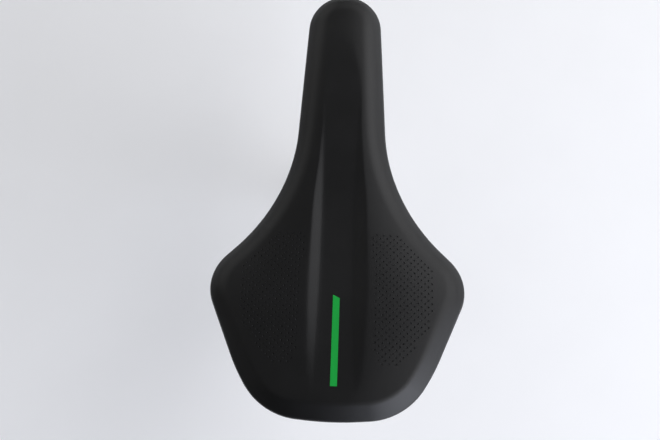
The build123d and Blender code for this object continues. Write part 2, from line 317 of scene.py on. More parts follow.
# %% Turn the shoulder
SHOULDER_RINGS = 25
ROUND_SHOULDER = rounded([(0, 8, 0), (0.4, 4.6, 2.2), (7.4, 0, 18), (SHOULDER_W, 0, 0)])
BAND_SHOULDER = rounded([(0, 8, 0), (0.1, 6, 2), (9.6, 0, 6), (SHOULDER_W, 0, 0)])
BAND_FROM, BAND_FULL = -45.0, -100.0  # y, where the band starts and where it is full
band_share = np.clip((rim[1] - BAND_FROM) / (BAND_FULL - BAND_FROM), 0, 1)
band_share = band_share**2 * (3 - 2 * band_share)


def evenly(line, count):
    """Points at even steps along a line."""
    steps = np.concatenate([[0], np.cumsum(np.linalg.norm(np.diff(line, axis=0), axis=1))])
    at = np.linspace(0, steps[-1], count)
    return np.stack([np.interp(at, steps, column) for column in line.T], axis=1)


def shoulder_ring(round_point, band_point):
    """Half a ring, from a point on each profile: how far in and how far under the top."""
    inset, drop = (a + (b - a) * band_share for a, b in zip(round_point, band_point))
    flat = ring(inset, 0)
    flat[:, 2] = top_height(flat[:, 0], flat[:, 1]) - drop
    return flat


profiles = zip(evenly(ROUND_SHOULDER, SHOULDER_RINGS), evenly(BAND_SHOULDER, SHOULDER_RINGS))
shoulder = [shoulder_ring(*pair) for pair in profiles]
print(len(shoulder), "rings turn the shoulder")

# %% [markdown]
# The side leans in a little on its way down and turns under in a small round, as skin does when it is
# pulled over an edge. Inside, a few plain rings close the block around the base.

# %% Run down the side and fold the hem
SIDE_TUCK = math.tan(math.radians(8))
PLAN_HEIGHT = 32.0  # height at which the solid's plan is as wide as drawn
PAD_SIDE, HEM_WIDTH, HEM_T, HEM_ROUND = 4.0, 7.15, 2.0, 0.9
SIDE_RINGS, HEM_RINGS = 9, 4
side_top = shoulder[0][:, 2]
side_foot = (side_top - skirt) * SIDE_TUCK
side_rise = side_top - skirt - HEM_ROUND
side_heights = [skirt + HEM_ROUND + side_rise * t for t in np.linspace(0, 1, SIDE_RINGS + 1)]
side = [ring((side_top - height) * SIDE_TUCK, height) for height in side_heights[:-1]]
hem = [
    ring(side_foot + HEM_ROUND * (1 - math.cos(turn)), skirt + HEM_ROUND * (1 - math.sin(turn)))
    for turn in np.linspace(math.pi / 2, 0, HEM_RINGS, endpoint=False)
]
inside = [
    ring((PLAN_HEIGHT - height) * SIDE_TUCK + inset, height)
    for inset, height in (
        (PAD_SIDE, roof),
        (PAD_SIDE, skirt + HEM_T),
        (HEM_WIDTH, skirt + HEM_T),
        (HEM_WIDTH, skirt),
    )
]
rings = inside + hem + side + shoulder
print(len(rings), "rings from the hollow for the base up to the shoulder")

# %% [markdown]
# ## The grid over the top
#
# Each row of the grid starts and ends on the last ring of the shoulder. Near the tail and the nose
# the rows bow out until the last one lies on the ring itself, so grid and ring share their points
# there and weld without a seam.

# %% Fill in the top
TAIL_BOW, NOSE_BOW = 45.0, 18.0  # how far from each end the rows are still bowed
CREST_SHARE = 0.3  # about where the crest crosses a row, as a share of its half width
top_ring = shoulder[-1]
corner_rows = top_ring[COLUMNS:COLUMNS + ROWS + 1]


def bow(x, reach, y, end, end_curve, length):
    """How far a row leaves its straight line, as the curve at one end of the saddle does."""
    share = np.clip(1 - abs(y - end[1]) / length, 0, 1) ** 2
    curve_x, curve_y = end_curve
    return share * (np.interp(x / reach * end[0], curve_x, curve_y) - end[1])


nose_curve = (top_ring[:COLUMNS + 1, 0], top_ring[:COLUMNS + 1, 1])
tail_curve = (top_ring[:-COLUMNS - 2:-1, 0], top_ring[:-COLUMNS - 2:-1, 1])
grid = np.zeros((ROWS + 1, COLUMNS + 1, 3))
for row, (reach, y, _) in enumerate(corner_rows):
    middle_y = y + bow(CREST_SHARE * reach, reach, y, corner_rows[-1], tail_curve, TAIL_BOW)
    x = columns_across(middle_y, reach)
    tail_part = bow(x, reach, y, corner_rows[-1], tail_curve, TAIL_BOW)
    nose_part = bow(x, reach, y, corner_rows[0], nose_curve, NOSE_BOW)
    grid[row, :, 0] = x
    grid[row, :, 1] = y + tail_part + nose_part
grid[0] = top_ring[:COLUMNS + 1]
grid[-1] = top_ring[:-COLUMNS - 2:-1]
grid[:, -1] = corner_rows
grid[..., 2] = top_height(grid[..., 0], grid[..., 1])
print("the top is", round(grid[..., 2].max(), 1), "mm over the rails at its highest")

# %% [markdown]
# ## One closed skin
#
# Half rings and the half grid are mirrored, listed as points and joined by four-sided faces. Welding
# then merges the points that the grid, the rings and the two halves share. The result is one closed
# body, as the foam block is, which is also what a clean boolean cut needs.

# %% Build the padded cover
WELD = 2e-6
CREASE = math.radians(35)
FLIP = np.array([-1.0, 1.0, 1.0])


def strip(first, second):
    """Faces between two equal lists of point numbers."""
    return list(zip(first, first[1:], second[1:], second))


def solid(name, points, faces):
    """A welded mesh piece from points in metres, smooth but for edges that turn sharply."""
    mesh = bpy.data.meshes.new(name)
    mesh.from_pydata(np.asarray(points).tolist(), [], faces)
    form = bmesh.new()
    form.from_mesh(mesh)
    bmesh.ops.remove_doubles(form, verts=form.verts, dist=WELD)
    bmesh.ops.recalc_face_normals(form, faces=form.faces)
    form.to_mesh(mesh)
    form.free()
    mesh.shade_smooth()
    mesh.set_sharp_from_angle(angle=CREASE)
    piece = bpy.data.objects.new(name, mesh)
    bpy.context.scene.collection.objects.link(piece)
    return piece


loops = [np.vstack([half, half[-2:0:-1] * FLIP]) for half in rings]
whole_grid = np.concatenate([grid[:, :0:-1] * FLIP, grid], axis=1)
points = np.vstack(loops + [whole_grid.reshape(-1, 3)])
number = np.arange(len(points))
loop_numbers = number[: len(loops) * len(loops[0])].reshape(len(loops), -1)
grid_numbers = number[loop_numbers.size:].reshape(ROWS + 1, -1)
faces = []
for lower, upper in zip(loop_numbers, loop_numbers[1:]):
    faces += strip([*lower, lower[0]], [*upper, upper[0]])
for lower, upper in zip(grid_numbers, grid_numbers[1:]):
    faces += strip(list(lower), list(upper))
hollow = [*loop_numbers[0], loop_numbers[0][0]]
middle = len(half_way)
faces += strip(hollow[:middle], hollow[:middle - 2:-1])
faces = [[int(corner) for corner in dict.fromkeys(face)] for face in faces]
cover = solid("padded_cover", placed(points), faces)
cover_size = (np.array(cover.dimensions) / MM).round(1)
print("cover has", len(cover.data.polygons), "faces and is", cover_size, "mm")

# %% [markdown]
# ## Perforated wings
#
# Each wing has a field of small holes through the skin, set in staggered rows, which let the foam
# breathe. A dark dot in the material would do for a picture from afar, but holes that are really
# there catch the light on one wall and shade on the other. First come their places: rows at an even
# step, every second one moved by half a step, kept where they fall inside the field's outline.

# %% Set out the holes
HOLE_PITCH, HOLE_ROW = 4.2, 2.05
HOLE_FIELD = [(20.2, -11.8), (37, -11.2), (57.2, -31.5), (56.5, -69.5), (36, -92.5), (23.5, -93)]
HOLES_ASIDE = 14  # more columns than the field is wide, on each side of the middle


def in_field(x, y):
    """Whether a place lies inside the outline of the holes on the right wing."""
    corners = zip(HOLE_FIELD, HOLE_FIELD[1:] + HOLE_FIELD[:1])
    return all((bx - ax) * (y - ay) < (by - ay) * (x - ax) for (ax, ay), (bx, by) in corners)


def hole_places():
    """Staggered places on both wings."""
    low_y, high_y = (pick(y for _, y in HOLE_FIELD) for pick in (min, max))
    for row in range(int((high_y - low_y) / HOLE_ROW) + 1):
        y = high_y - row * HOLE_ROW
        for column in range(-HOLES_ASIDE, HOLES_ASIDE + 1):
            x = (column + row % 2 / 2) * HOLE_PITCH
            if in_field(abs(x), y):
                yield x, y


holes = list(hole_places())
print(len(holes), "holes on the two wings")

# %% [markdown]
# Each hole is cut by a small cup with a round foot, which stands square on the surface. A straight
# cylinder would do, but pressed skin draws in towards the bottom of a hole.

# %% Shape a cup for each hole
HOLE_R, HOLE_DEPTH, HOLE_SIDES = 0.6, 0.46, 10
HOLE_CUP = [  # radius and height, as shares
    (1.2, 0.3),
    (1.0, 0.0),
    (0.85, -0.42),
    (0.6, -0.82),
    (0.3, -1.0),
]
SLOPE_STEP = 0.5


def circle(sides, first, second):
    """Points of a unit circle in the plane of two directions."""
    turns = np.arange(sides) * 2 * math.pi / sides
    return np.outer(np.cos(turns), first) + np.outer(np.sin(turns), second)


def hole_cup(x, y):
    """Rings of one cup, standing square on the surface."""
    slope_x = (top_height(x + SLOPE_STEP, y) - top_height(x - SLOPE_STEP, y)) / (2 * SLOPE_STEP)
    slope_y = (top_height(x, y + SLOPE_STEP) - top_height(x, y - SLOPE_STEP)) / (2 * SLOPE_STEP)
    up = unit(np.array([-slope_x, -slope_y, 1.0]))
    along = unit(np.cross(up, (0.0, 1.0, 0.0)))
    around = circle(HOLE_SIDES, along, np.cross(up, along))
    foot = np.array([x, y, float(top_height(x, y))])
    return np.vstack([foot + around * HOLE_R * wide + up * HOLE_DEPTH * high for wide, high in HOLE_CUP])


cups = [hole_cup(x, y) for x, y in holes]
print(len(cups), "cups of", 2 * HOLE_R, "mm across and", HOLE_DEPTH, "mm deep")

# %% [markdown]
# One cutter holds all the cups, and a single boolean cuts them. A boolean for each hole would give
# the same and take far longer.

# %% Punch the holes
def tube_faces(levels, sides, first=0):
    """Faces of a closed tube of rings that follow each other, with both ends filled."""
    rows = [[first + level * sides + k for k in range(sides)] for level in range(levels)]
    walls = []
    for lower, upper in zip(rows, rows[1:]):
        walls += strip([*lower, lower[0]], [*upper, upper[0]])
    return walls + [rows[0][::-1], rows[-1]]


def many_tubes(name, tubes, levels, sides):
    """One piece that holds many tubes of the same make."""
    faces = []
    for k in range(len(tubes)):
        faces += tube_faces(levels, sides, k * levels * sides)
    return solid(name, placed(np.vstack(tubes)), faces)


def cut_away(piece, tool):
    """Cut one piece's form out of another's for good."""
    cut = piece.modifiers.new("holes", "BOOLEAN")
    cut.operation, cut.object, cut.solver = "DIFFERENCE", tool, "MANIFOLD"
    shaped = piece.evaluated_get(bpy.context.evaluated_depsgraph_get())
    mesh = bpy.data.meshes.new_from_object(shaped)
    piece.modifiers.clear()
    piece.data = mesh
    bpy.data.objects.remove(tool)
    mesh.shade_smooth()
    mesh.set_sharp_from_angle(angle=CREASE)


cut_away(cover, many_tubes("hole_punch", cups, len(HOLE_CUP), HOLE_SIDES))
print(len(cups), "holes, and the cover now has", len(cover.data.polygons), "faces")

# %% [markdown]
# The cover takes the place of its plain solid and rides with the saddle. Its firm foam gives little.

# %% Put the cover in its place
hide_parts("cover")
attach(cover, "saddle")
print("cover rides on the saddle")

# %% [markdown]
# ## The green stripe
#
# A narrow stripe of film is pressed onto the floor of the channel, with its front end cut at a slant.
# It could be a mask in the skin's material, but a real film has an edge, and as a thin piece of its
# own it stays sharp at any distance. Its upper side follows the height of the top.

# %% Press the stripe on
STRIPE_HALF = 2.0
STRIPE_REAR = -104.7
STRIPE_FRONT = (-50.6, -52.6)  # at the left and the right side
FILM_T, FILM_UNDER = 0.12, 0.3
STRIPE_ROWS, STRIPE_COLUMNS = 90, 6

stripe_x = np.linspace(-STRIPE_HALF, STRIPE_HALF, STRIPE_COLUMNS + 1)
stripe_front = np.linspace(*STRIPE_FRONT, STRIPE_COLUMNS + 1)
stripe_y = np.linspace(STRIPE_REAR, stripe_front, STRIPE_ROWS + 1)
stripe_x = np.broadcast_to(stripe_x, stripe_y.shape)
stripe_z = top_height(stripe_x, stripe_y)
sheets = [np.stack([stripe_x, stripe_y, stripe_z + lift], axis=2) for lift in (FILM_T, -FILM_UNDER)]
upper, under = np.arange(2 * stripe_x.size).reshape(2, *stripe_x.shape).tolist()
stripe_faces = []
for sheet in (upper, under):
    for row, following in zip(sheet, sheet[1:]):
        stripe_faces += strip(row, following)


def border(sheet):
    """Point numbers round a sheet's edge."""
    right_side = [row[-1] for row in sheet[1:]]
    left_side = [row[0] for row in sheet[-2::-1]]
    return sheet[0] + right_side + sheet[-1][-2::-1] + left_side


stripe_faces += strip(border(upper), border(under))
stripe = solid("stripe_film", placed(np.concatenate(sheets).reshape(-1, 3)), stripe_faces)
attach(stripe, "saddle")
print("stripe is", (np.array(stripe.dimensions) / MM).round(1), "mm")

# %% [markdown]
# ## Staples under the hem
#
# The skin is pulled round the edge of the base and stapled there. From below, the row of small steel
# crowns is what tells a stapled cover from a glued one. All of them are one mesh: a short bent wire,
# repeated at even steps along the hem.

# %% Drive the staples
STAPLE_STEP = 17.0
STAPLE_HALF, WIRE_R, WIRE_SIDES = 4.2, 0.42, 8
STAPLE_INSET = 4.4  # from the foot of the side
STAPLE_WIRE = [  # share of the half length, and height in millimetres
    (-1.0, 1.2),
    (-1.0, 0.15),
    (-0.9, -0.1),
    (0.9, -0.1),
    (1.0, 0.15),
    (1.0, 1.2),
]
UP = np.array([0.0, 0.0, 1.0])


def staple(middle, along):
    """A bent wire along the hem: its two legs go up into the base."""
    path = np.array([
        middle + along * STAPLE_HALF * reach + UP * height
        for reach, height in STAPLE_WIRE
    ])
    beside = np.cross(along, UP)
    wire = []
    for point, onward in zip(path, np.gradient(path, axis=0)):
        other = unit(np.cross(beside, onward))
        wire.append(point + WIRE_R * circle(WIRE_SIDES, beside, other))
    return np.vstack(wire)


edge_lines = (edge_x, edge_y, inward_x, inward_y)
staples = []
for distance in np.arange(STAPLE_STEP / 2, edge_length, STAPLE_STEP):
    spot_x, spot_y, in_x, in_y = (np.interp(distance, way, line) for line in edge_lines)
    foot_z = np.interp(spot_y, *SKIRT_LINE.T)
    inset = np.interp(distance, half_way, side_foot) + STAPLE_INSET
    for flip in (1, -1):
        middle_point = np.array([flip * (spot_x + in_x * inset), spot_y + in_y * inset, foot_z])
        staples.append(staple(middle_point, np.array([flip * -in_y, in_x, 0.0])))
hem_staples = many_tubes("hem_staples", staples, len(STAPLE_WIRE), WIRE_SIDES)
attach(hem_staples, "saddle")
print(len(staples), "staples")

# %% [markdown]
# ## The bolt's thread
#
# The clamp is drawn tight by one bolt with a thread at both ends. A screw modifier would sweep a
# thread, but its ends need trimming. Here the bolt is a lathe-like grid whose radius rises and falls
# with the height along the bolt minus the turn: that is a helix. Towards each end the radius is
# held down, which gives the chamfer that starts a nut, and in the middle it is a plain shank.

# %% Cut the thread
BOLT_R, THREAD_DEPTH, THREAD_PITCH = 4.0, 0.72, 1.25
THREAD_L, BOLT_CHAMFER = 18.0, 0.9
FLANK_STEEP, CREST_FLAT = 2.6, 0.15  # form of one turn: slope of its flanks and width of its crest
BOLT_SIDES, THREAD_STEPS = 32, 6  # steps in one pitch
bolt_low, bolt_high = (np.array(corner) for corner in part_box("cross_bolt"))
bolt_axis = (bolt_low + bolt_high) / 2
bolt_half = (bolt_high[0] - bolt_low[0]) / 2 / MM

thread_from = bolt_half - THREAD_L
thread_x = np.linspace(thread_from, bolt_half, int(THREAD_L / THREAD_PITCH * THREAD_STEPS) + 1)
bolt_x = np.concatenate([-thread_x[::-1], thread_x])
turns = np.arange(BOLT_SIDES) / BOLT_SIDES
phase = (bolt_x[:, None] / THREAD_PITCH - turns[None, :]) % 1
groove = np.clip(np.abs(phase - 0.5) * FLANK_STEEP - CREST_FLAT, 0, 1)
run_out = np.clip((np.abs(bolt_x) - thread_from) / THREAD_PITCH, 0, 1)[:, None]
bolt_r = BOLT_R - THREAD_DEPTH * groove * run_out
bolt_r = np.minimum(bolt_r, (bolt_half - np.abs(bolt_x) + BOLT_R - BOLT_CHAMFER)[:, None])
angles = 2 * math.pi * turns[None, :]
bolt_run = np.broadcast_to(bolt_x[:, None], bolt_r.shape)
bolt_points = np.stack([bolt_run, bolt_r * np.cos(angles), bolt_r * np.sin(angles)], axis=2)
bolt_points = bolt_points.reshape(-1, 3) * MM + bolt_axis
bolt = solid("threaded_bolt", bolt_points, tube_faces(len(bolt_x), BOLT_SIDES))
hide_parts("cross_bolt")
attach(bolt, "rail_clamp")
thread_turns = round(THREAD_L / THREAD_PITCH)
print("bolt is", round(2 * bolt_half, 1), "mm long with", thread_turns, "turns at each end")

# %% [markdown]
# ## Softened edges
#
# Pressed steel and turned nuts never have knife edges, and a render shows that at once: a tiny
# rounding catches a line of light. The solids themselves stay as they are. A weld modifier joins the
# faces that arrive split, and a bevel modifier rounds the edges that turn sharply.

# %% Round the metal's edges
EDGE_ROUND = {  # solid and rounding
    "clamp_band": 0.5,
    "outer_plate_left": 0.35,
    "outer_plate_right": 0.35,
    "nut_left": 0.25,
    "nut_right": 0.25,
    "washer_left": 0.25,
    "washer_right": 0.25,
    "post": 0.3,
}
ROUND_STEPS, SHARP_TURN = 2, math.radians(40)
for name, width in EDGE_ROUND.items():
    weld = frame["nodes"][name].modifiers.new("weld", "WELD")
    weld.merge_threshold = WELD
    bevel = frame["nodes"][name].modifiers.new("round", "BEVEL")
    bevel.width, bevel.segments, bevel.limit_method = width * MM, ROUND_STEPS, "ANGLE"
    bevel.angle_limit, bevel.harden_normals = SHARP_TURN, True
print(len(EDGE_ROUND), "solids have rounded edges")

# %% [markdown]
# ## Finishes as expressions
#
# A material is a small program. Wiring its nodes by hand hides the sums in it, so two small classes
# help, and a finish can then be read like a recipe. The first, `Wire`, holds a socket and takes part
# in Python sums: each sum adds a Math node.

# %% Let sockets take part in sums
class Wire:
    """A value on its way through a material, which can be used in sums."""

    def __init__(self, nodes, socket):
        self.nodes = nodes
        self.socket = socket

    def maths(self, operation, first, second):
        return self.nodes.node("ShaderNodeMath", {"operation": operation}, {0: first, 1: second})

    def __add__(self, other):
        return self.maths("ADD", self, other)

    def __radd__(self, other):
        return self.maths("ADD", other, self)

    def __sub__(self, other):
        return self.maths("SUBTRACT", self, other)

    def __rsub__(self, other):
        return self.maths("SUBTRACT", other, self)

    def __mul__(self, other):
        return self.maths("MULTIPLY", self, other)

    def __rmul__(self, other):
        return self.maths("MULTIPLY", other, self)

    def __lt__(self, other):
        return self.maths("LESS_THAN", self, other)

    def __gt__(self, other):  # Python's reflected form of the one above
        return self.maths("GREATER_THAN", self, other)


print("sums are written with", Wire.__name__)

# %% [markdown]
# The second, `Nodes`, adds any other node by its type, its settings and what feeds its sockets.
# Settings come first, because they can change which sockets a node has.

# %% Add nodes by one method
class Nodes:
    """A tree of nodes that grows by one method."""

    def __init__(self, tree):
        self.tree = tree

    def node(self, kind, settings=(), inputs=(), output=0):
        """Add a node: its settings first, then the values or wires of its sockets."""
        added = self.tree.nodes.new(kind)
        for name, value in dict(settings).items():
            setattr(added, name, value)
        for name, value in dict(inputs).items():
            self.feed(added.inputs[name], value)
        return Wire(self, added.outputs[output])

    def feed(self, socket, value):
        if isinstance(value, Wire):
            self.tree.links.new(value.socket, socket)
        else:
            socket.default_value = value

    def shader(self, kind):
        return next(node for node in self.tree.nodes if node.bl_idname == kind)


print("nodes are added with", Nodes.__name__)

# %% [markdown]
# A few words are needed again and again: where a point is on its piece, sums of places, noise and
# cells at a scale, a soft step between two limits, a blend of two colours, and a bump. Each is one or
# two nodes from the same method. Places are in metres on the piece itself, so a finish stays put when
# its body moves.

# %% Name the usual steps
def place_on_piece(nodes):
    return nodes.node("ShaderNodeTexCoord", output="Object")


def vector_maths(nodes, operation, first, second=(0.0, 0.0, 0.0), output=0):
    inputs = {0: first, 1: second}
    return nodes.node("ShaderNodeVectorMath", {"operation": operation}, inputs, output)


def noise(nodes, place, size_mm, detail=2.0, stretch=(1.0, 1.0, 1.0)):
    """Cloudy noise from 0 to 1 whose patches are about so large."""
    stretched = vector_maths(nodes, "MULTIPLY", place, stretch)
    inputs = {"Vector": stretched, "Scale": 1 / (size_mm * MM), "Detail": detail}
    return nodes.node("ShaderNodeTexNoise", {}, inputs)


def cells(nodes, place, size_mm):
    """Distance to the nearest border between cells of that size, in shares of a cell."""
    inputs = {"Vector": place, "Scale": 1 / (size_mm * MM)}
    return nodes.node("ShaderNodeTexVoronoi", {"feature": "DISTANCE_TO_EDGE"}, inputs, "Distance")


def step(nodes, value, low, high):
    """0 under the low limit, 1 over the high one, and a soft step between."""
    inputs = {"Value": value, "From Min": low, "From Max": high}
    return nodes.node("ShaderNodeMapRange", {"interpolation_type": "SMOOTHSTEP"}, inputs)


def blend(nodes, share, first, second):
    """The first colour, giving way to the second as the share grows; either may be a wire."""
    first, second = (c if isinstance(c, Wire) else (*c, 1.0) for c in (first, second))
    return nodes.node("ShaderNodeMix", {"data_type": "RGBA"}, {0: share, 6: first, 7: second}, 2)


def bump(nodes, height, depth_mm):
    inputs = {"Height": height, "Distance": depth_mm * MM, "Strength": 1.0}
    return nodes.node("ShaderNodeBump", {}, inputs)


usual_steps = (vector_maths, noise, cells, step, blend, bump)
print("usual steps:", ", ".join(usual.__name__ for usual in usual_steps))

# %% [markdown]
# A recipe is a function that returns what feeds the shader's sockets. One helper turns a recipe into
# a material, and another gives that material to pieces, so each finish below is only its recipe.

# %% Turn recipes into materials
def finish(name, recipe, **constants):
    """A material from a recipe, which returns what feeds the shader, and from constant values."""
    material = bpy.data.materials.new(name)
    material.use_nodes = True
    nodes = Nodes(material.node_tree)
    shader = nodes.shader("ShaderNodeBsdfPrincipled")
    for socket, value in {**constants, **recipe(nodes, place_on_piece(nodes))}.items():
        nodes.feed(shader.inputs[socket.replace("_", " ")], value)
    print(name, "takes", len(material.node_tree.nodes), "nodes")
    return material


def wear(material, *pieces):
    """Give pieces a finish in place of the plain one they came with."""
    for piece in pieces:
        piece.data.materials.clear()
        piece.data.materials.append(material)


print("recipes go through", finish.__name__, "and then", wear.__name__)

# %% [markdown]
# ## Synthetic leather
#
# The skin is a coated fabric: nearly black, satin, with a fine pebble grain that is more felt than
# seen. Voronoi cells make the pebbles, since embossed grain is a field of small domes with creases
# between, and a finer noise roughens the domes. The creases are a little more matt than the domes,
# which rub against clothing and polish. A broad, faint cloudiness keeps large areas from looking
# like plastic.

# %% Grain the skin
GRAIN_SIZE, TOOTH_SIZE, CLOUD_SIZE = 0.75, 0.22, 38  # millimetres
GRAIN_DEPTH, DOME_EDGE = 0.02, 0.35
DOME_SHARE, TOOTH_SHARE = 0.75, 0.25
SKIN_DARK, SKIN_LIGHT = (0.0044, 0.0044, 0.0046), (0.006, 0.006, 0.0062)
SKIN_ROUGH, CLOUD_MATT, DOME_POLISH = 0.37, 0.06, 0.06
PATCHY = (0.35, 0.65)  # limits that make patches of a soft noise


def grained(nodes, place):
    """Height of the leather grain from 0 to 1: domes with creases between, and a fine tooth."""
    domes = step(nodes, cells(nodes, place, GRAIN_SIZE), 0.0, DOME_EDGE)
    return domes * DOME_SHARE + noise(nodes, place, TOOTH_SIZE, 1.0) * TOOTH_SHARE


def skin(nodes, place):
    grain = grained(nodes, place)
    cloud = noise(nodes, place, CLOUD_SIZE, 3.0)
    return {
        "Base Color": blend(nodes, step(nodes, cloud, *PATCHY), SKIN_DARK, SKIN_LIGHT),
        "Roughness": SKIN_ROUGH + cloud * CLOUD_MATT - grain * DOME_POLISH + DOME_POLISH / 2,
        "Normal": bump(nodes, grain, GRAIN_DEPTH),
    }


wear(finish("skin_finish", skin, Specular_IOR_Level=0.35), cover)

# %% [markdown]
# The film of the stripe is thin enough to show the grain under it, a little flattened by the press.
# Its green is even, with a faint mottling from the print.

# %% Print the stripe
GREEN_DEEP, GREEN_FRESH = (0.004, 0.327, 0.041), (0.0055, 0.366, 0.0465)
MOTTLE_SIZE = 1.6
FILM_ROUGH, MOTTLE_MATT, FILM_GRAIN = 0.42, 0.12, 0.5


def film(nodes, place):
    grain = grained(nodes, place)
    mottle = noise(nodes, place, MOTTLE_SIZE, 3.0)
    return {
        "Base Color": blend(nodes, mottle, GREEN_DEEP, GREEN_FRESH),
        "Roughness": FILM_ROUGH + mottle * MOTTLE_MATT,
        "Normal": bump(nodes, grain, GRAIN_DEPTH * FILM_GRAIN),
    }


wear(finish("stripe_finish", film, Specular_IOR_Level=0.3), stripe)

# %% [markdown]
# ## Moulded base
#
# The base is an injection moulding in black plastic. Its mould is spark eroded, which leaves a fine
# even sparkle of pits, and the flow of the melt leaves long faint streaks in gloss. Noise at two
# scales gives both.

# %% Mould the base
PIT_SIZE, PIT_DEPTH, FLOW_SIZE = 0.35, 0.05, 30  # millimetres
FLOW_STRETCH = (1.0, 0.18, 1.0)  # streaks run along the saddle
BASE_DARK, BASE_LIGHT = (0.012, 0.012, 0.013), (0.019, 0.019, 0.021)
BASE_ROUGH, FLOW_MATT, PIT_MATT = 0.46, 0.14, 0.06


def moulded(nodes, place):
    pits = noise(nodes, place, PIT_SIZE, 2.0)
    flow = noise(nodes, place, FLOW_SIZE, 3.0, FLOW_STRETCH)
    return {
        "Base Color": blend(nodes, flow, BASE_DARK, BASE_LIGHT),
        "Roughness": BASE_ROUGH + flow * FLOW_MATT + pits * PIT_MATT,
        "Normal": bump(nodes, pits, PIT_DEPTH),
    }


wear(finish("base_finish", moulded), frame["nodes"]["base"])

# %% [markdown]
# ## Black enamel
#
# Rails, clamp and post are steel under black enamel. Sprayed enamel has an orange peel of broad low
# waves. Where steel rubs on steel it wears through, so each part shows bare metal only where it would:
# the rails where the clamp has slid on them, the post where the tube that holds it scrapes. Masks
# between 0 and 1 choose between enamel and steel, and the same mask drives colour, metal and gloss.

# %% Enamel with honest wear
ENAMEL, ENAMEL_WARM = (0.011, 0.011, 0.012), (0.016, 0.016, 0.017)
BARE_STEEL = (0.42, 0.41, 0.40)
PEEL_SIZE, PEEL_DEPTH, DUST_SIZE = 2.4, 0.016, 14  # millimetres
DUST_MATT, WORN_MATT, WORN_LOW = 0.1, 0.12, 0.6


def enamelled(nodes, place, worn, gloss):
    """Enamel of a given roughness that gives way to bare steel where it is worn."""
    peel = noise(nodes, place, PEEL_SIZE, 1.0)
    dust = noise(nodes, place, DUST_SIZE, 4.0)
    coat = blend(nodes, dust, ENAMEL, ENAMEL_WARM)
    return {
        "Base Color": blend(nodes, worn, coat, BARE_STEEL),
        "Metallic": worn,
        "Roughness": gloss + dust * DUST_MATT + worn * WORN_MATT,
        "Normal": bump(nodes, peel - worn * WORN_LOW, PEEL_DEPTH),
    }


def axis_of(nodes, place, axis):
    return nodes.node("ShaderNodeSeparateXYZ", {}, {0: place}, axis)


CLAMP_HALF, RUB_REACH = 18.0, 11.0
RUB_SIZE, RUB_STRETCH = 0.7, (1.0, 0.06, 1.0)
RUB_LIMITS, RAIL_GLOSS = (0.56, 0.6), 0.3


def rail_enamel(nodes, place):
    """Scratched along the run just outside the clamp."""
    along = (axis_of(nodes, place, "Y") - float(rail_axis[1])) * (1 / MM)
    beyond = nodes.node("ShaderNodeMath", {"operation": "ABSOLUTE"}, {0: along})
    rubbed = step(nodes, beyond, CLAMP_HALF + RUB_REACH, CLAMP_HALF)
    scratch = noise(nodes, place, RUB_SIZE, 3.0, RUB_STRETCH)
    return enamelled(nodes, place, step(nodes, scratch * rubbed, *RUB_LIMITS), RAIL_GLOSS)


wear(finish("rail_finish", rail_enamel), frame["nodes"]["rails"])

# %% [markdown]
# The clamp's plates, band and toothed discs are pressed steel. Their coat is thinner and chips in
# small spots. The plates are handled with a spanner, so the chips gather near the bolt.

# %% Enamel the clamp
HANDS = ("left", "right")
clamp_plates = ("inner_plate", "outer_plate", "tooth_disc")
clamp_nodes = ["clamp_band"] + [f"{plate}_{hand}" for plate in clamp_plates for hand in HANDS]
SPANNER_REACH, SPANNER_CORE = 11.0, 0.6
CHIP_SIZE, CHIPS_NEAR = 1.3, 0.07
CHIP_LIMITS, CLAMP_GLOSS = (0.69, 0.72), 0.36
ACROSS_BOLT = (0.0, 1.0, 1.0)


def clamp_enamel(nodes, place):
    from_bolt = vector_maths(nodes, "SUBTRACT", place, tuple(bolt_axis))
    flat = vector_maths(nodes, "MULTIPLY", from_bolt, ACROSS_BOLT)
    distance = vector_maths(nodes, "LENGTH", flat, output="Value")
    near = step(nodes, distance, SPANNER_REACH * MM, SPANNER_CORE * SPANNER_REACH * MM)
    chips = noise(nodes, place, CHIP_SIZE, 3.0)
    return enamelled(nodes, place, step(nodes, chips + near * CHIPS_NEAR, *CHIP_LIMITS), CLAMP_GLOSS)


wear(finish("clamp_finish", clamp_enamel), *(frame["nodes"][name] for name in clamp_nodes))

# %% [markdown]
# The post is gloss enamel. It slides in a tube that grips it, so the part below the origin carries
# long fine scratches along it. Just there a ring of short pale lines marks how far it must go in,
# as such posts have it. Along the post, the place is a dot product with its axis, and the lines come
# from the angle round it: shader sums do both.

# %% Enamel and mark the post
MARK_LENGTH, MARK_COUNT, MARK_SHARE = 6.0, 36, 0.3
MARK_WHITE = (0.55, 0.55, 0.54)
SCRAPE_SIZE, SCRAPE_STRETCH, SCRAPE_START = 0.5, 0.03, 0.012
SCRAPE_LIMITS, POST_GLOSS = (0.64, 0.69), 0.16
post_down = Vector(frame["record"]["mounts"][0]["axis"])
post_side = Vector((1.0, 0.0, 0.0))
post_front = post_down.cross(post_side)


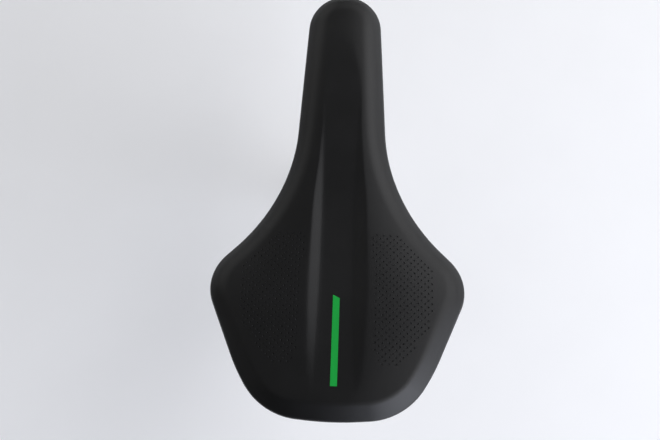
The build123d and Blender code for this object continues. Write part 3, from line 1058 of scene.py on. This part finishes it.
def post_enamel(nodes, place):
    """Scraped along the part that is pushed in, with a ring of marks at its upper end."""
    aside, ahead, down = (
        vector_maths(nodes, "DOT_PRODUCT", place, tuple(direction), "Value")
        for direction in (post_side, post_front, post_down)
    )
    turn = nodes.node("ShaderNodeMath", {"operation": "ARCTAN2"}, {0: aside, 1: ahead})
    beat = nodes.node("ShaderNodeMath", {"operation": "FRACT"}, {0: turn * (MARK_COUNT / (2 * math.pi))})
    off_middle = down - MARK_LENGTH / 2 * MM
    height = nodes.node("ShaderNodeMath", {"operation": "ABSOLUTE"}, {0: off_middle})
    mark = (beat < MARK_SHARE) * (height < MARK_LENGTH / 2 * MM)
    tube = nodes.node("ShaderNodeCombineXYZ", {}, {0: aside, 1: ahead, 2: down * SCRAPE_STRETCH})
    scratch = noise(nodes, tube, SCRAPE_SIZE, 3.0)
    inserted = step(nodes, down, 0.0, SCRAPE_START)
    coat = enamelled(nodes, place, step(nodes, scratch * inserted, *SCRAPE_LIMITS), POST_GLOSS)
    coat["Base Color"] = blend(nodes, mark, coat["Base Color"], MARK_WHITE)
    return coat


wear(finish("post_finish", post_enamel), frame["nodes"]["post"])

# %% [markdown]
# ## Zinc
#
# Bolt, nuts, washers and staples are zinc plated: pale metal, cool, with a faint rainbow haze from
# the passivation and fine marks from tumbling in a barrel. Two noises are enough for both.

# %% Plate the fasteners
ZINC_COOL, ZINC_WARM = (0.50, 0.52, 0.56), (0.60, 0.58, 0.52)
HAZE_SIZE, TUMBLE_SIZE, TUMBLE_DEPTH = 3.5, 0.3, 0.01  # millimetres
ZINC_ROUGH, TUMBLE_MATT = 0.26, 0.16


def zinc(nodes, place):
    haze = noise(nodes, place, HAZE_SIZE, 2.0)
    tumbled = noise(nodes, place, TUMBLE_SIZE, 4.0)
    return {
        "Base Color": blend(nodes, step(nodes, haze, *PATCHY), ZINC_COOL, ZINC_WARM),
        "Roughness": ZINC_ROUGH + tumbled * TUMBLE_MATT,
        "Normal": bump(nodes, tumbled, TUMBLE_DEPTH),
    }


fasteners = [frame["nodes"][f"{kind}_{hand}"] for kind in ("nut", "washer") for hand in HANDS]
wear(finish("zinc_finish", zinc, Metallic=1.0), bolt, hem_staples, *fasteners)

# %% [markdown]
# ## The floor
#
# The saddle stands on a plain floor at the height of the post's lowest point: white paint with a faint
# unevenness, rough enough to keep a soft shadow and show no reflection. A backdrop that curves up
# would do as well, but the camera looks down and sees only the floor. It is declared as stage,
# because it is no part of the saddle.

# %% Lay the floor
FLOOR_HALF = 4.0
UNEVEN_SIZE = 60  # millimetres
PAINT_DIM, PAINT_BRIGHT = (0.93, 0.93, 0.93), (0.96, 0.96, 0.96)
floor_z = cad_box[0].z
floor_mesh = bpy.data.meshes.new("studio_floor")
floor_corners = [
    (x * FLOOR_HALF, y * FLOOR_HALF, floor_z)
    for x, y in ((-1, -1), (1, -1), (1, 1), (-1, 1))
]
floor_mesh.from_pydata(floor_corners, [], [(0, 1, 2, 3)])
floor = bpy.data.objects.new("studio_floor", floor_mesh)
bpy.context.scene.collection.objects.link(floor)
floor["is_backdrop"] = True


def white_paint(nodes, place):
    uneven = noise(nodes, place, UNEVEN_SIZE, 2.0)
    return {"Base Color": blend(nodes, uneven, PAINT_DIM, PAINT_BRIGHT)}


wear(finish("floor_finish", white_paint, Roughness=0.9, Specular_IOR_Level=0.1), floor)

# %% [markdown]
# ## The light
#
# Six large soft panels light the saddle. Two on the right model the right flank, a cooler one behind
# draws the rim of the tail, and dimmer ones on the left and in front lift the rest. One strong lamp
# would be simpler, but it leaves hard shadows. The room itself is dim, and a little less so at the
# horizon: a bright one would wash out the black skin. The panels are held low enough that the floor
# stays under pure white in the photograph's view. Nearer to them it is brighter, and clips.

# %% Light the room
HORIZON, ZENITH = (0.05, 0.05, 0.05), (0.02, 0.02, 0.02)
RISE_LIMITS = (0.02, 0.45)
world = bpy.data.worlds.new("studio")
bpy.context.scene.world = world
world.use_nodes = True
room = Nodes(world.node_tree)
direction = room.node("ShaderNodeTexCoord", output="Generated")
rise = step(room, axis_of(room, direction, "Z"), *RISE_LIMITS)
room.feed(room.shader("ShaderNodeBackground").inputs["Color"], blend(room, rise, HORIZON, ZENITH))

LAMPS = [  # name, place in the saddle's millimetres, width, height, strength in watts, colour
    ("right_panel", (1630, -120, 1820), 3.8, 1.8, 42, (0.97, 0.97, 1.0)),
    ("right_low_panel", (2160, 440, 540), 4.6, 1.2, 19, (0.97, 0.97, 1.0)),
    ("rear_panel", (1540, -1460, 700), 2.4, 1.8, 54.5, (0.84, 0.88, 1.0)),
    ("left_panel", (-1400, 400, 1360), 3.6, 2.8, 6.6, (1.0, 1.0, 1.0)),
    ("left_front_panel", (-1240, 1520, 820), 2.2, 1.2, 6.6, (1.0, 1.0, 1.0)),
    ("front_panel", (960, 1660, 1160), 2.4, 1.6, 11.7, (1.0, 1.0, 1.0)),
]
LAMP_AIM = placed((0, 0, 40))
for name, place, width, height, watts, colour in LAMPS:
    lamp = bpy.data.lights.new(name, "AREA")
    lamp.shape, lamp.size, lamp.size_y = "RECTANGLE", width, height
    lamp.energy, lamp.color = watts, colour
    stand = bpy.data.objects.new(name, lamp)
    stand.location = placed(place)
    stand.rotation_euler = Vector(LAMP_AIM - placed(place)).to_track_quat("-Z", "Y").to_euler()
    stand.visible_camera = False
    bpy.context.scene.collection.objects.link(stand)
print(len(LAMPS), "soft panels in a dim room")

# %% [markdown]
# ## The camera
#
# The photograph looks down on the saddle from behind. The camera's place, tilt and focal length come
# from matching the saddle's outline in it: most of that outline falls within a pixel or two.

# %% Stand the camera
IMAGE_WIDTH, FOCAL_LENGTH = 660, 900  # pixels
SENSOR = 36.0
CAMERA_PLACE = (8.4, -155.2, 574.1)
PITCH, YAW, ROLL = (math.radians(angle) for angle in (16.0, -1.44, 1.56))

camera_data = bpy.data.cameras.new("photo_camera")
camera_data.sensor_width = SENSOR
camera_data.lens = FOCAL_LENGTH * SENSOR / IMAGE_WIDTH
camera = bpy.data.objects.new("photo_camera", camera_data)
aim = Matrix.Rotation(PITCH, 3, "X") @ Matrix.Rotation(-YAW, 3, "Y") @ Matrix.Rotation(ROLL, 3, "Z")
camera.matrix_world = Matrix.Translation(placed(CAMERA_PLACE)) @ aim.to_4x4()
bpy.context.scene.collection.objects.link(camera)
bpy.context.scene.camera = camera
bpy.context.scene.view_settings.view_transform = "Standard"
print("lens of", round(camera_data.lens, 1), "mm")

# %% [markdown]
# ## The sizes
#
# Dressing the saddle mustn't change its size, so both boxes are printed.

# %% Print the sizes
visual_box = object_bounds()
for label, (low, high) in (("solids", cad_box), ("dressed", visual_box)):
    print(label, [round((b - a) / MM, 1) for a, b in zip(low, high)], "mm")
